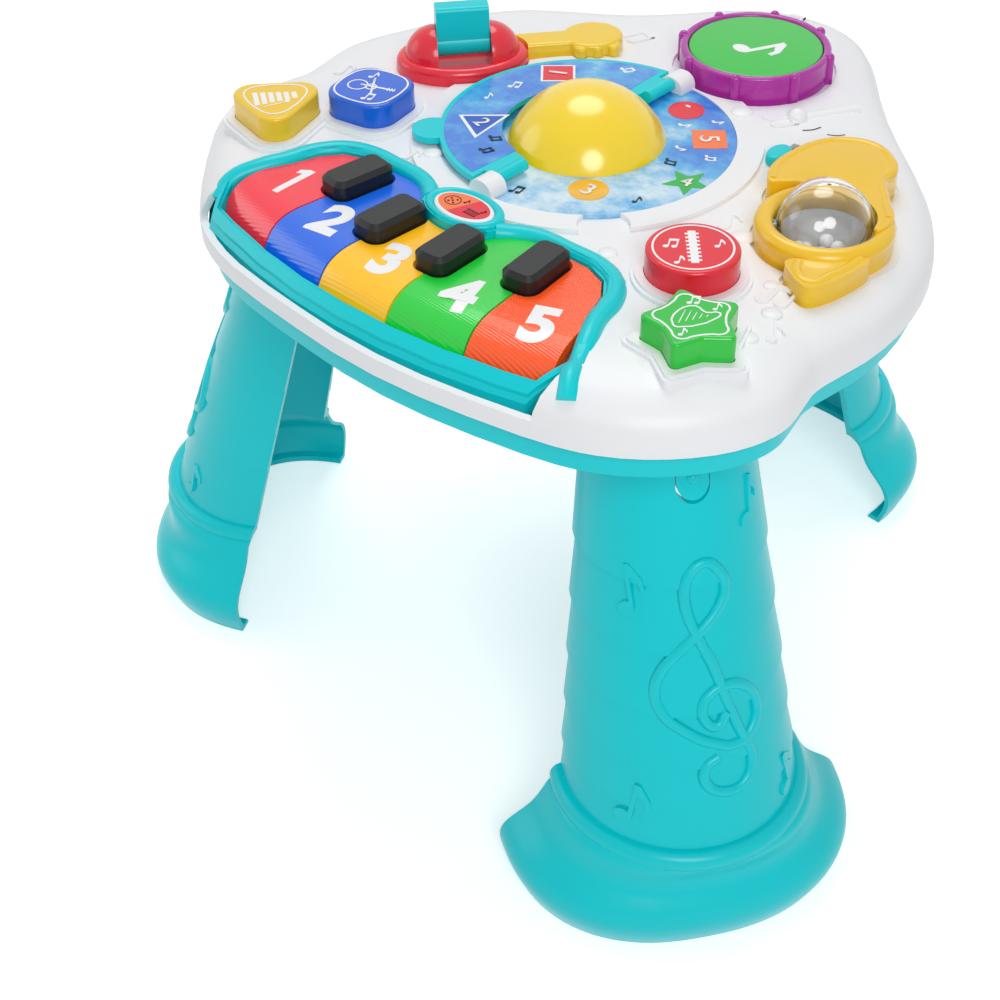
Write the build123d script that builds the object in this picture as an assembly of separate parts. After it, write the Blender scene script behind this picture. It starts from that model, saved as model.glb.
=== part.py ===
from build123d import *
import math
import os

os.makedirs("parts", exist_ok=True)

# ---------------------------------------------------------------- driving sizes, mm
deck_z = 320.0          # flat middle of the white top above the floor
deck_wall = 3.0         # moulded wall of the top panel
skirt_z = 293.0         # lower edge of the top panel's skirt
floor_z = 278.0         # underside of the lower housing
leg_turn = -3.0         # turn of the leg triad about the middle axis, degrees
middle_x = -4.1782        # middle of the footprint, from the disc axis
middle_y = 37.3140
run = 0.3               # gap between moving pieces
slip = 0.05             # radial gap of a pin in its bore
disc_r = 77.0           # printed disc
dome_r, dome_h = 41.0, 28.0
drum_x, drum_y, drum_r = 14.0, 122.5, 36.4
ball_x, ball_y, ball_z, ball_r = 146.4, 3.4, 328.5, 22.5
button_top = 336.0
press = 3.5             # button travel
key_drop = 4.0          # key swing, degrees

# edge of the white top, seen from above, round from the front
edge_points = [
    (-14, -190), (55, -190), (108, -181), (152, -167), (182, -143), (198, -118), (202, -92),
    (196, -68), (198, -42), (198, -4), (178, 55), (139, 100), (98, 136), (66, 170), (36, 200),
    (4, 211), (-30, 202), (-60, 172), (-90, 140), (-147, 98), (-177, 36), (-186, -2),
    (-179, -40), (-184, -84), (-162, -120), (-134, -149), (-108, -170), (-70, -184),
]


def place(shape):
    return Pos(-middle_x, -middle_y, 0) * shape


def save(name, shape):
    export_step(place(shape), f"parts/{name}.step")


def edge_loop():
    # the smooth edge as short straight runs, closer together where it turns
    curve = Spline(*[Vector(x, y, 0) for x, y in edge_points], periodic=True)
    kept, way, last = [curve @ 0], curve % 0, 0.0
    for n in range(1, 600):
        here, now = curve @ (n / 600), curve % (n / 600)
        if way.get_angle(now) > 5.0 or (here - kept[-1]).length > 26:
            kept.append(here)
            way = now
    return [(p.X, p.Y) for p in kept]


edge = edge_loop()


def outline(k, z):
    return make_face(Polyline(*[Vector(x * k, y * k, z) for x, y in edge], close=True))


def slab(k, z0, z1):
    return extrude(outline(k, z0), amount=z1 - z0, dir=(0, 0, 1))


# rows of the rounded deck: share of the edge outline, height
deck_rows = [(1.0, 300.5), (0.993, 307.0), (0.970, 313.0), (0.925, 317.6), (0.850, deck_z)]


def deck(shrink, drop, low):
    # solid under the deck: level in the middle, rounded down to the edge
    rows = [outline(k - shrink, z - drop) for k, z in deck_rows]
    return loft(rows, ruled=True) + slab(1.0 - shrink, low, deck_rows[0][1] - drop)


def prism(points, z0, z1):
    face = make_face(Polyline(*[Vector(x, y, z0) for x, y in points], close=True))
    return extrude(face, amount=z1 - z0, dir=(0, 0, 1))


def smooth_prism(points, z0, z1):
    face = make_face(Spline(*[Vector(x, y, z0) for x, y in points], periodic=True))
    return extrude(face, amount=z1 - z0, dir=(0, 0, 1))


def rod(x, y, z0, z1, r):
    return Pos(x, y, (z0 + z1) / 2) * Cylinder(r, z1 - z0)


def oval(x, y, z0, z1, a, b, turn=0):
    return Pos(x, y, z0) * Rot(0, 0, turn) * extrude(Ellipse(a, b), amount=z1 - z0)


# ---------------------------------------------------------------- keyboard plan
fan_y = 199.0           # middle of the arcs that the key fronts follow
board_x = 7.0           # the keyboard sits this far right of the disc axis
key_top = 321.0
key_wall = 4.0
key_back, key_front = -104.0, -176.0
bay_half_back, bay_half_front = 101.0, 115.0
bed_top = 301.0
axle_y, axle_z, axle_r = -97.0, 308.5, 1.5
axle_half = 94.0
ear_step, ear_w = 41.0, 9.0
black_spots = [(-60.5, -111, -7), (-20.5, -127, -3), (20.5, -127, 3), (60.5, -111, 7)]
black_w, black_len, black_top = 19.0, 35.0, 330.0
seat_at, seat_a, seat_b = -97.0, 23.0, 15.0


def on_board(shape):
    return Pos(board_x, 0, 0) * shape


def bay(grow, z0, z1):
    # fan-shaped key bay with a curved front and a dip for the rocker at the back
    g = grow
    b, f = bay_half_back + g, bay_half_front + g
    back = [(-b + 26, -90 + g), (-40, -90 + g), (-28, -95 + g), (-22, -106 + g), (0, -110 + g),
            (22, -106 + g), (28, -95 + g), (40, -90 + g), (b - 26, -90 + g)]
    right = [(b - 13, -95 + g * 0.75), (b - 5, -105 + g * 0.5), (b, -120), (f - 1, -147)]
    rad = fan_y + 177.5 + g
    front = [(x, fan_y - math.sqrt(rad * rad - x * x)) for x in (108, 92, 60, 30, 0, -30, -60, -92, -108)]
    left = [(-x, y) for x, y in reversed(right)]
    return prism(back + right + front + left, z0, z1)


def fall(top, y_flat, y_end, z_end, low=280.0):
    # solid under the rounded fall of the keys: level, then down at the front along an arc
    def at(y, z):
        return Vector(fan_y - y, fan_y, z)
    curve = Spline(at(y_flat, top), at((y_flat + y_end) / 2 - 4.5, top - (top - z_end) * 0.27),
                   at(y_end, z_end), tangents=[(1, 0, 0), (0.45, 0, -0.9)])
    rest = [at(y_end, z_end), at(y_end - 30, z_end), at(y_end - 30, low), at(-40, low), at(-40, top),
            at(y_flat, top)]
    lines = [Line(rest[n], rest[n + 1]) for n in range(len(rest) - 1)]
    return revolve(make_face([curve] + lines), axis=Axis((0, fan_y, 0), (0, 0, 1)))


def black_plan(n, grow, z0, z1):
    x, y, turn = black_spots[n]
    plan = RectangleRounded(black_w + 2 * grow, black_len + 2 * grow, 6 + grow)
    return Pos(x, y, z0) * Rot(0, 0, turn) * extrude(plan, amount=z1 - z0)


def key_plan(n, z0, z1):
    # one fifth of the fan, from pivot to front edge
    def side(k, y):
        t = (key_back - y) / (key_back - key_front)
        half = bay_half_back + (bay_half_front - bay_half_back) * t
        return -half + 2 * half * k / 5
    gap = 0.5
    y0, y1 = -90.0, -182.0
    return prism([(side(n, y0) + gap, y0), (side(n, y1) + gap, y1), (side(n + 1, y1) - gap, y1),
                  (side(n + 1, y0) - gap, y0)], z0, z1)


def key(n):
    shell = fall(key_top, -150, -177, 301) - fall(key_top - key_wall, -147, -173.4, 296)
    body = shell & key_plan(n, 285, 330) & bay(-0.9, 285, 330)
    for k in (n - 1, n):
        if 0 <= k <= 3:
            body -= black_plan(k, 1.3, 280, 340)
    body -= oval(0, seat_at, 314, 340, seat_a + 0.8, seat_b + 0.8)
    if n == 2:
        body -= [Pos(s * 15.5, -103, 318) * Box(11.6, 12, 12) for s in (-1, 1)]
    # foot and ear that reach back to the shared axle
    x = (n - 2) * ear_step
    body += Pos(x, -118.5, 311.5) * Box(ear_w, 7, 12)
    body += Pos(x, -109.5, axle_z) * Box(ear_w, 25, 7)
    body += Pos(x, axle_y, axle_z) * Rot(0, 90, 0) * Cylinder(4.0, ear_w)
    body -= Pos(x, axle_y, axle_z) * Rot(0, 90, 0) * Cylinder(axle_r + slip, 30)
    return body


def black_key(n):
    body = black_plan(n, 0, bed_top, black_top)
    body = chamfer(body.edges().group_by(Axis.Z)[-1], length=2.4)
    return body - Pos(0, axle_y + 2, 306) * Box(300, 12, 13)


def keyboard_frame():
    ring = (bay(8.0, bed_top, 330) - bay(0, 280, 335)) & fall(322.2, -140, -186.5, 300.5)
    crest = (bay(6.0, bed_top, 330) - bay(2.0, 280, 335)) & fall(324.5, -140, -186.5, 302.5)
    front = (bay(8.0, 295, 303) - bay(0, 280, 335)) & (Pos(0, -176, 300) * Box(236, 56, 20))
    ring = ring + crest + (front & fall(324.5, -140, -186.5, 302.5))
    ring -= Pos(0, -96, 304.5) * Box(184, 44, 20)
    ring = ring + oval(0, seat_at, 314.5, 325.5, seat_a, seat_b)
    ring -= oval(0, seat_at, 317.5, 330, 18.4, 11.4) + oval(0, seat_at, 310, 330, 12, 6)
    ring -= Pos(0, seat_at, rocker_z) * Rot(90, 0, 0) * Cylinder(2.2 + slip, 16)
    for s in (-1, 1):
        ring += Pos(s * (axle_half - 1.5), axle_y, 308) * Box(11, 9, 14)
        bore = Pos(s * (axle_half - 5), axle_y, axle_z) * Rot(0, 90, 0) * Cylinder(axle_r + slip, 10)
        ring -= bore
    return ring


def key_axle():
    return Pos(0, axle_y, axle_z) * Rot(0, 90, 0) * Cylinder(axle_r, 2 * axle_half)


def key_bed():
    plate = bay(6.0, bed_top - 3, bed_top) - (Pos(0, -179, 300) * Box(260, 63, 20))
    plate -= Pos(0, -94, 300) * Box(192, 34, 20)
    for x, y in ((-84, -132), (84, -132), (-30, -146), (30, -146)):
        plate += rod(x, y, floor_z + 3, bed_top - 2, 4)
    return plate


def key_pads():
    out = None
    for n in range(5):
        x = (n - 2) * 44.0
        pad = rod(x, -142, bed_top, bed_top + 5, 6) + rod(x, -142, bed_top + 5, 312.6, 3.2)
        out = pad if out is None else out + pad
    return out


def mode_rocker():
    # oval rocker that tips to the left or right on a short shaft
    cap = oval(0, seat_at, 319.8, 326.6, 17.6, 10.8)
    cap = fillet(cap.edges().group_by(Axis.Z)[-1], 1.2)
    stem = Pos(0, seat_at, 317.5) * Box(6, 5, 6)
    hub = Pos(0, seat_at, rocker_z) * Rot(90, 0, 0) * Cylinder(2.2, 15)
    return cap + stem + hub


rocker_z = 315.6


# ---------------------------------------------------------------- round centre
def annulus(r1, r0, z0, z1, x=0.0, y=0.0):
    return rod(x, y, z0, z1, r1) - rod(x, y, z0 - 1, z1 + 1, r0)


disc_top = 321.8
ring_top = 322.3
page_axis_z = 326.0
page_half = 1.7
barrel_r = 3.4
pin_r = 1.6
knuckle_in, knuckle_out = 67.5, 79.0


def disc_base():
    plate = annulus(disc_r, 34, 318, disc_top)
    for s in (-1, 1):
        plate -= Pos(0, s * 75, 320) * Box(15.6, 15.6, 10)
    return plate


def dome_lens():
    def cap(r, h, z):
        rad = (r * r + h * h) / (2 * h)
        ball = Pos(0, 0, z + h - rad) * Sphere(rad)
        return ball & (Pos(0, 0, z + 25) * Box(120, 120, 50))
    shell = cap(dome_r, dome_h, disc_top) - cap(dome_r - 2.2, dome_h - 2.2, disc_top)
    return shell - Pos(0, 0, disc_top - 5) * Box(100, 100, 10)


def lamp_board():
    return rod(0, 0, 318, 319.6, 30)


def dome_lamps():
    out = None
    for k in range(3):
        a = math.radians(90 + 120 * k)
        x, y = 15 * math.cos(a), 15 * math.sin(a)
        lamp = rod(x, y, 319.6, 323, 2.5) + Pos(x, y, 323) * Sphere(2.5)
        out = lamp if out is None else out + lamp
    return out


def flip_page():
    z0, z1 = page_axis_z - page_half, page_axis_z + page_half
    half = annulus(76, 44.5, z0, z1) & (Pos(-50, 0, 326) * Box(100, 200, 20))
    a = math.radians(223)
    tab = rod(79 * math.cos(a), 79 * math.sin(a), z0, z1, 11.0)
    tab -= rod(0, 0, 300, 340, 70)
    half = half + tab
    half -= Pos(0, 0, 326) * Box(6, 200, 20)
    for s in (-1, 1):
        y0, y1 = 47.5, knuckle_in - run
        mid = s * (y0 + y1) / 2
        half += Pos(0, mid, page_axis_z) * Rot(90, 0, 0) * Cylinder(barrel_r, y1 - y0)
        half += Pos(-2.5, mid, page_axis_z) * Box(5, y1 - y0, 2 * page_half)
        pin_mid = s * (y1 + knuckle_out - 3) / 2
        half += Pos(0, pin_mid, page_axis_z) * Rot(90, 0, 0) * Cylinder(pin_r, knuckle_out - 3 - y1)
        # the ends of the page clear the knuckles
        clear = Pos(0, s * 75, page_axis_z) * Box(16.4, 15.6, 14)
        pin = Pos(0, pin_mid, page_axis_z) * Rot(90, 0, 0) * Cylinder(pin_r, knuckle_out - 3 - y1)
        half = (half - clear) + pin
    return half


# ---------------------------------------------------------------- buttons
red_at, red_r = (120.5, -63.0), 22.0
star_at = (156.0, -106.5)
blue_at = (-102.5, -55.0)
yellow_at = (-130.5, -97.0)
collar_z = 323.4
collar_low = 306.0


def star_points(r1, r0, turn):
    pts = []
    for k in range(10):
        r = r1 if k % 2 == 0 else r0
        a = math.radians(turn + 36 * k)
        pts.append((r * math.cos(a), r * math.sin(a)))
    return pts


def red_plan(grow):
    return Circle(red_r + grow)


def star_plan(grow):
    pts = [Vector(x, y) for x, y in star_points(24.5 + grow * 1.25, 16.0 + grow * 0.9, 72)]
    face = make_face(Polyline(*pts, close=True))
    return fillet(face.vertices(), 3.0)


def blue_plan(grow):
    return Rot(0, 0, 11) * RectangleRounded(39 + 2 * grow, 39 + 2 * grow, 12 + grow)


def yellow_plan(grow):
    r = 34.5 + 2 * grow
    pts = [Vector(r * math.cos(math.radians(78 + 120 * k)), r * math.sin(math.radians(78 + 120 * k)))
           for k in range(3)]
    face = make_face(Polyline(*pts, close=True))
    return fillet(face.vertices(), 10.5 + grow)


buttons = {
    "red_button": (red_at, red_plan),
    "star_button": (star_at, star_plan),
    "blue_button": (blue_at, blue_plan),
    "yellow_button": (yellow_at, yellow_plan),
}


def lift(at, plan, z0, z1):
    return Pos(at[0], at[1], z0) * extrude(plan, amount=z1 - z0)


def button(at, plan):
    cap = lift(at, plan(0), collar_low - 1.5, button_top)
    cap = fillet(cap.edges().group_by(Axis.Z)[-1], 1.8)
    flange = lift(at, plan(1.8), collar_low - 3.5, collar_low - run)
    return cap + flange


def button_pads():
    # rubber domes under the button stems
    out = None
    for at, plan in buttons.values():
        low = board_top if at is star_at else socket_roof
        pad = rod(at[0], at[1], low, low + 1.6, 6) + rod(at[0], at[1], low + 1.6, pad_top, 3.5)
        out = pad if out is None else out + pad
    return out


# ---------------------------------------------------------------- drum
drum_seat = 318.0
drum_top = 334.0


def drum_rim():
    ring = annulus(drum_r + 4.6, drum_r + run, drum_seat, drum_top, drum_x, drum_y)
    top = ring.edges().filter_by(GeomType.CIRCLE).group_by(Axis.Z)[-1]
    ring = fillet(top, 1.8)
    floor = annulus(drum_r + 1, 7, drum_seat, drum_seat + 2, drum_x, drum_y)
    ring += floor
    for k in range(8):
        a = math.radians(22.5 + 45 * k)
        x, y = drum_x + (drum_r + 4.4) * math.cos(a), drum_y + (drum_r + 4.4) * math.sin(a)
        ring += rod(x, y, drum_seat, drum_top - 1.5, 2.8) + Pos(x, y, drum_top - 1.5) * Sphere(2.8)
    ring -= rod(drum_x, drum_y, drum_seat + 2, 345, drum_r + run)
    return ring


def drum_head():
    skin = rod(drum_x, drum_y, drum_top - 5.2, drum_top - 1.0, drum_r)
    skin = fillet(skin.edges().group_by(Axis.Z)[-1], 1.0)
    stem = rod(drum_x, drum_y, 309, drum_top - 5, 5.5)
    clip = rod(drum_x, drum_y, 309, drum_seat - 3 - run, 9)
    return skin + stem + clip


# ---------------------------------------------------------------- guitar
guitar_at = (-106.5, 17.0)
guitar_turn = 51.0
neck_y = 8.5                # the neck runs beside the middle line
guitar_seat = 320.0
guitar_a, guitar_b = 36.5, 26.0
paddle_z = 334.0
cheek_gap = 29.6


def on_guitar(shape):
    return Pos(guitar_at[0], guitar_at[1], 0) * Rot(0, 0, guitar_turn) * shape


def guitar_plan(grow, z0, z1):
    return Pos(0, 0, z0) * extrude(Ellipse(guitar_a + grow, guitar_b + grow), amount=z1 - z0)


def guitar_body():
    plate = guitar_plan(0, guitar_seat, guitar_seat + 9)
    plate = fillet(plate.edges().group_by(Axis.Z)[-1], 4)
    half_gap = cheek_gap / 2
    for s in (-1, 1):
        ball = Pos(s * half_gap, 0, 327) * Sphere(17)
        plate += ball & (Pos(s * (half_gap + 10), 0, 340) * Box(20, 60, 40))
    body = plate - Pos(0, 0, 337) * Box(cheek_gap, 37, 30)
    for s in (-1, 1):
        bore = Pos(s * (half_gap + 3), 0, paddle_z) * Rot(0, 90, 0) * Cylinder(1.5 + slip, 6)
        body -= bore
    return on_guitar(body)


def strum_paddle():
    width = cheek_gap - 2 * run
    hub = Pos(0, 0, paddle_z) * Rot(0, 90, 0) * Cylinder(7.0, width)
    blade = Pos(0, 0, 345.5) * Box(width, 12, 21)
    blade = fillet(blade.edges().filter_by(Axis.X), 2.5)
    body = hub + blade
    body -= Pos(0, 0, paddle_z) * Rot(0, 90, 0) * Cylinder(1.5 + slip, 40)
    return on_guitar(body)


def strum_axle():
    return on_guitar(Pos(0, 0, paddle_z) * Rot(0, 90, 0) * Cylinder(1.5, cheek_gap + 12))


def neck_shape(grow, z0, z1):
    neck = Pos(43, neck_y, (z0 + z1) / 2) * Box(46, 16 + 2 * grow, z1 - z0)
    head = Pos(74, neck_y + 1, z0) * extrude(Ellipse(17 + grow, 15.5 + grow), amount=z1 - z0)
    pegs = [Pos(x, neck_y - 7.5, z0) * extrude(Ellipse(4.3 + grow, 8.5 + grow), amount=z1 - z0)
            for x in (65.5, 74.5, 83.5)]
    return [neck, head] + pegs


def guitar_neck():
    body = None
    for k, piece in enumerate(neck_shape(0, guitar_seat, guitar_seat + 9)):
        if k > 1:
            piece = piece - Pos(74, neck_y, guitar_seat + 13) * Box(60, 60, 10)
        piece = fillet(piece.edges().group_by(Axis.Z)[-1], 2.0)
        body = piece if body is None else body + piece
    return on_guitar(body - guitar_plan(0.05, 300, 360))


# ---------------------------------------------------------------- horn and rattle ball
horn_seat = 318.0
ring_mid, ring_tube = 28.6, 4.8
ball_turn = 40.0


def horn_body():
    ring = Pos(ball_x, ball_y, ball_z - 0.5) * Torus(ring_mid, ring_tube)
    bell = smooth_prism(bell_plan, horn_seat, 334)
    bell = fillet(bell.edges().group_by(Axis.Z)[-1], 1.0)
    pipe = smooth_prism(pipe_plan, horn_seat, 329.5)
    body = ring + bell + pipe
    base = annulus(ring_mid + ring_tube - 0.4, ball_r + 1.8, horn_seat, ball_z - 0.5, ball_x, ball_y)
    body += base
    body -= rod(ball_x, ball_y, 300, 350, ball_r + 1.6)
    body &= Pos(ball_x, ball_y, horn_seat + 20) * Box(200, 200, 40)
    a = math.radians(ball_turn)
    for s in (-1, 1):
        px, py = ball_x + s * 25.5 * math.cos(a), ball_y + s * 25.5 * math.sin(a)
        body -= Pos(px, py, ball_z) * Rot(0, 0, ball_turn) * Rot(0, 90, 0) * Cylinder(2.0 + slip, 6.0)
    return body


def spin(shape):
    return Pos(ball_x, ball_y, ball_z) * Rot(0, 0, ball_turn) * shape


def ball_half(side):
    shell = Sphere(ball_r) - Sphere(ball_r - 1.8)
    shell &= Pos(0, side * 25, 0) * Box(60, 50, 60)
    # half of each pole pin
    for s in (-1, 1):
        pin = Pos(s * (ball_r + 2.2), 0, 0) * Rot(0, 90, 0) * Cylinder(2.0, 6.0)
        pin -= Sphere(ball_r - 0.5)
        shell += pin & (Pos(0, side * 25, 0) * Box(60, 50, 60))
    return spin(shell)


def ball_beads():
    out = None
    rest = ball_r - 1.8 - 4.0
    for x, y in ((0, 0), (8, 2), (-8, 1), (3, 8), (-4, -8), (5, -7), (-12, -6)):
        bead = Pos(x, y, -math.sqrt(rest * rest - x * x - y * y)) * Sphere(3.98)
        out = bead if out is None else out + bead
    return spin(out)


# ---------------------------------------------------------------- volume slider
slide_at = (85.0, 50.5)
slide_turn = 97.0
slide_run = 16.0


def along_slide(shape):
    return Pos(slide_at[0], slide_at[1], 0) * Rot(0, 0, slide_turn) * shape


def volume_slider():
    knob = extrude(Ellipse(8.5, 6.0), amount=5)
    knob = Pos(0, 0, deck_z + run) * knob
    knob = fillet(knob.edges().group_by(Axis.Z)[-1], 2)
    stem = Pos(0, 0, 317.5) * Box(5, 3.4, 9)
    clip = Pos(0, 0, 313.0) * Box(9, 9, 2.4)
    return along_slide(knob + stem + clip)


def slide_slot():
    return along_slide(Pos(slide_run / 2, 0, 317) * Box(slide_run + 6.2, 4.0, 20))


# ---------------------------------------------------------------- table body
board_top = 292.6
pad_top = collar_low - 3.5 - press - run


bell_plan = [(106, 12), (99, 24), (97.5, 42), (101, 60), (111, 72.5), (125, 77), (139, 71), (147.5, 61),
             (149, 51), (160, 35), (172.5, 20), (172, 9), (160, 17), (149, 25), (137, 28.5), (124, 22.5),
             (113, 16)]
pipe_plan = [(157, -29), (152.5, -35.5), (161, -42.5), (173, -46), (177.5, -38), (180.5, -22), (179.5, -8),
             (174, -14), (165, -23)]


def seat(plan, z0, z1):
    # the plan of an instrument with a margin all round
    curve = Spline(*[Vector(x, y, z0) for x, y in plan], periodic=True)
    face = make_face(Polyline(*[curve @ (n / 90) for n in range(90)], close=True))
    return extrude(offset(face, amount=1.8), amount=z1 - z0, dir=(0, 0, 1))


def top_panel():
    body = deck(0, 0, skirt_z) - deck(0.016, deck_wall, skirt_z - 5)
    body += [
        annulus(91, disc_r + 0.2, 317, ring_top),       # raised ring about the disc
        annulus(disc_r + 2, 26, 315, 318),              # floor under the disc
        rod(drum_x, drum_y, drum_seat - 3, drum_seat, drum_r + 9.6),
        on_guitar(guitar_plan(2, guitar_seat - 3, guitar_seat)),
        rod(ball_x, ball_y, horn_seat - 3, horn_seat, ring_mid + ring_tube + 3),
        seat(bell_plan, horn_seat - 3, horn_seat),
        seat(pipe_plan, horn_seat - 3, horn_seat),
    ]
    cuts = [
        rod(0, 0, 318, 340, disc_r + 0.2),
        rod(0, 0, 300, 319, 26),
        rod(drum_x, drum_y, drum_seat, 345, drum_r + 8.4),
        on_guitar(guitar_plan(0.6, guitar_seat, 345)),
        rod(ball_x, ball_y, horn_seat, 345, ring_mid + ring_tube + 1.5),
        seat(bell_plan, horn_seat, 345),
        seat(pipe_plan, horn_seat, 345),
        rod(ball_x, ball_y, 300, 340, ball_r + 1.6),
        rod(drum_x, drum_y, 300, 340, 7),
        on_guitar(Pos(0, 0, 310) * Box(20, 20, 40)),
        slide_slot(),
    ]
    cuts += [on_guitar(piece) for piece in neck_shape(0.6, guitar_seat, 345)]
    body -= cuts
    body += [lift(at, plan(4.6), collar_low, collar_z) for at, plan in buttons.values()]
    body += [lift(at, plan(6.4), collar_low, collar_z - 1.6) for at, plan in buttons.values()]
    cuts = [lift(at, plan(run), collar_low - 20, 345) for at, plan in buttons.values()]
    # the front edge is low along the keys
    low_edge = (Pos(0, fan_y, 322.3) * (Cylinder(480, 40) - Cylinder(fan_y + 168, 42))
                & Pos(0, -180, 322.3) * Box(236, 120, 42))
    cuts += [on_board(cut) for cut in
             (bay(8.0, 280, 340), oval(0, seat_at, 290, 345, seat_a + 0.1, seat_b + 0.1), low_edge)]
    # finger notch across from the tab of the open page
    a = math.radians(-43)
    cuts.append(rod(86 * math.cos(a), 86 * math.sin(a), 319.8, 330, 13) - rod(0, 0, 300, 330, disc_r + 0.2))
    body -= cuts
    posts, bores = [], []
    for s in (-1, 1):
        y = s * (knuckle_in + knuckle_out) / 2
        post = Pos(0, y, 323) * Box(15, knuckle_out - knuckle_in, 14)
        posts.append(fillet(post.edges().filter_by(Axis.Y).group_by(Axis.Z)[-1], 6.5))
        bores.append(Pos(0, s * (knuckle_in + knuckle_out - 3) / 2, page_axis_z) * Rot(90, 0, 0)
                     * Cylinder(pin_r + slip, knuckle_out - 3 - knuckle_in + 1))
    # moulded drumstick lying on the deck
    stick = Pos(66, 92, 320) * Sphere(5.5)
    shaft = Pos(75, 108, 319.5) * Rot(0, 0, 60) * Rot(0, 90, 0) * Cylinder(2.6, 34)
    posts.append((stick + shaft) & (Pos(74, 103, 330) * Box(80, 80, 26)))
    body += posts
    return body - bores


def speaker_can():
    return rod(speaker_at[0], speaker_at[1], floor_z + 3, floor_z + 6, 27) + rod(
        speaker_at[0], speaker_at[1], floor_z + 6, floor_z + 12.5, 15)


speaker_at = (100.0, 50.0)
bay_at = (0.0, 20.0)        # battery bay
cell_r, cell_len, cell_step = 7.1, 50.0, 15.2
bay_w, bay_l, bay_h = 50.0, 60.0, 20.0
door_screw_y = 36.8
screw_spots = [(-150, 20), (150, 40), (0, 185), (-136, -126), (138, -140), (-90, 110)]
socket_r = 33.0
plug_r = 32.5
plug_h = 14.0


def leg_frame(turn):
    return Rot(0, 0, turn + leg_turn)


leg_turns = {"left": 210.0, "right": -30.0, "rear": 90.0}
leg_in = 141.0
socket_roof = floor_z + plug_h + 3


def lower_housing():
    shell = slab(0.972, floor_z, skirt_z)
    shell -= slab(0.956, floor_z + 3, skirt_z + 2)
    lip = slab(0.981, skirt_z - 2.5, skirt_z) - slab(0.956, skirt_z - 5, skirt_z + 1)
    tray = shell + lip
    # battery bay from below
    bx, by = bay_at
    tray += Pos(bx, by, floor_z + bay_h / 2) * Box(bay_w + 5, bay_l + 5, bay_h)
    tray -= Pos(bx, by, floor_z + bay_h / 2 - 2) * Box(bay_w, bay_l, bay_h)
    tray += rod(bx, by + door_screw_y, floor_z + 0.5, floor_z + 12, 4.5)
    tray -= Pos(bx, by + 4, floor_z + 1.0) * Box(bay_w + 2.6, bay_l + 16.0, 2.0 + 0.8)
    tray -= rod(bx, by + door_screw_y, floor_z - 1, floor_z + 11, 1.6)
    # sockets for the legs
    for turn in leg_turns.values():
        cup = rod(leg_in, 0, floor_z, socket_roof, socket_r + 3)
        cup -= rod(leg_in, 0, floor_z - 1, floor_z + plug_h + run, socket_r)
        ring = leg_frame(turn) * cup
        tray -= leg_frame(turn) * rod(leg_in, 0, floor_z - 1, floor_z + 5, socket_r)
        tray += ring & slab(0.97, floor_z, 300)
    # speaker grille
    for i in range(-3, 4):
        for j in range(-3, 4):
            if i * i + j * j <= 9:
                tray -= rod(speaker_at[0] + 6 * i, speaker_at[1] + 6 * j, floor_z - 1, floor_z + 4, 1.6)
    # screw bosses and board posts
    for x, y in screw_spots:
        tray += rod(x, y, floor_z, skirt_z + 1, 4.5)
        tray -= rod(x, y, floor_z - 1, skirt_z + 2, 1.6)
        tray -= rod(x, y, floor_z - 1, floor_z + 4, 3.4)
    for x, y in board_posts:
        tray += rod(x, y, floor_z + 2, board_top - 1.6, 3)
    tray += rod(star_at[0], star_at[1], floor_z + 2, board_top, 7)
    return tray


board_posts = [(-66, -66), (66, -66), (-66, 66), (66, 66)]


def circuit_board():
    board = Pos(0, 0, board_top - 0.8) * Box(146, 146, 1.6)
    return board - Pos(bay_at[0], bay_at[1], 290) * Box(bay_w + 7, bay_l + 7, 20)


def battery_cells():
    out = None
    for k in (-1, 0, 1):
        cell = Pos(bay_at[0] + k * cell_step, bay_at[1], floor_z + 10.5) * Rot(90, 0, 0) * (
            Cylinder(cell_r, cell_len - 1.5))
        nub = Pos(bay_at[0] + k * cell_step, bay_at[1] + (1 if k % 2 == 0 else -1) * (cell_len / 2 - 0.4),
                  floor_z + 10.5) * Rot(90, 0, 0) * Cylinder(2.7, 1.5)
        cell = cell + nub
        out = cell if out is None else out + cell
    return out


def battery_contacts():
    out = None
    for s in (-1, 1):
        strip = Pos(bay_at[0], bay_at[1] + s * (bay_l / 2 - 0.4), floor_z + 10.5) * Box(46, 0.8, 12)
        out = strip if out is None else out + strip
        for k in (-1, 0, 1):
            y0 = cell_len / 2 + 0.35 if (k % 2 == 0) == (s > 0) else cell_len / 2 - 0.75
            y1 = bay_l / 2 - 0.8
            coil = Pos(bay_at[0] + k * cell_step, bay_at[1] + s * (y0 + y1) / 2, floor_z + 10.5)
            out += coil * Rot(90, 0, 0) * Cylinder(3.0, y1 - y0)
    return out


def battery_door():
    door = Pos(bay_at[0], bay_at[1] + 4, floor_z + 1.0) * Box(bay_w + 2.0, bay_l + 15.4, 2.0)
    y = bay_at[1] + door_screw_y
    door -= rod(bay_at[0], y, floor_z - 1, floor_z + 3, 1.7)
    return door - rod(bay_at[0], y, floor_z - 1, floor_z + 1.2, 3.2)


def pan_screw(x, y, z, length):
    # head down, shank up
    head = rod(x, y, z, z + 1.6, 2.9)
    head -= Pos(x, y, z + 0.4) * Box(4.0, 0.8, 0.8) + Pos(x, y, z + 0.4) * Box(0.8, 4.0, 0.8)
    return head + rod(x, y, z + 1.6, z + length, 1.45)


def housing_screws():
    out = None
    for x, y in screw_spots:
        s = pan_screw(x, y, floor_z + 2.4, 17.5)
        out = s if out is None else out + s
    return out


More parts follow.
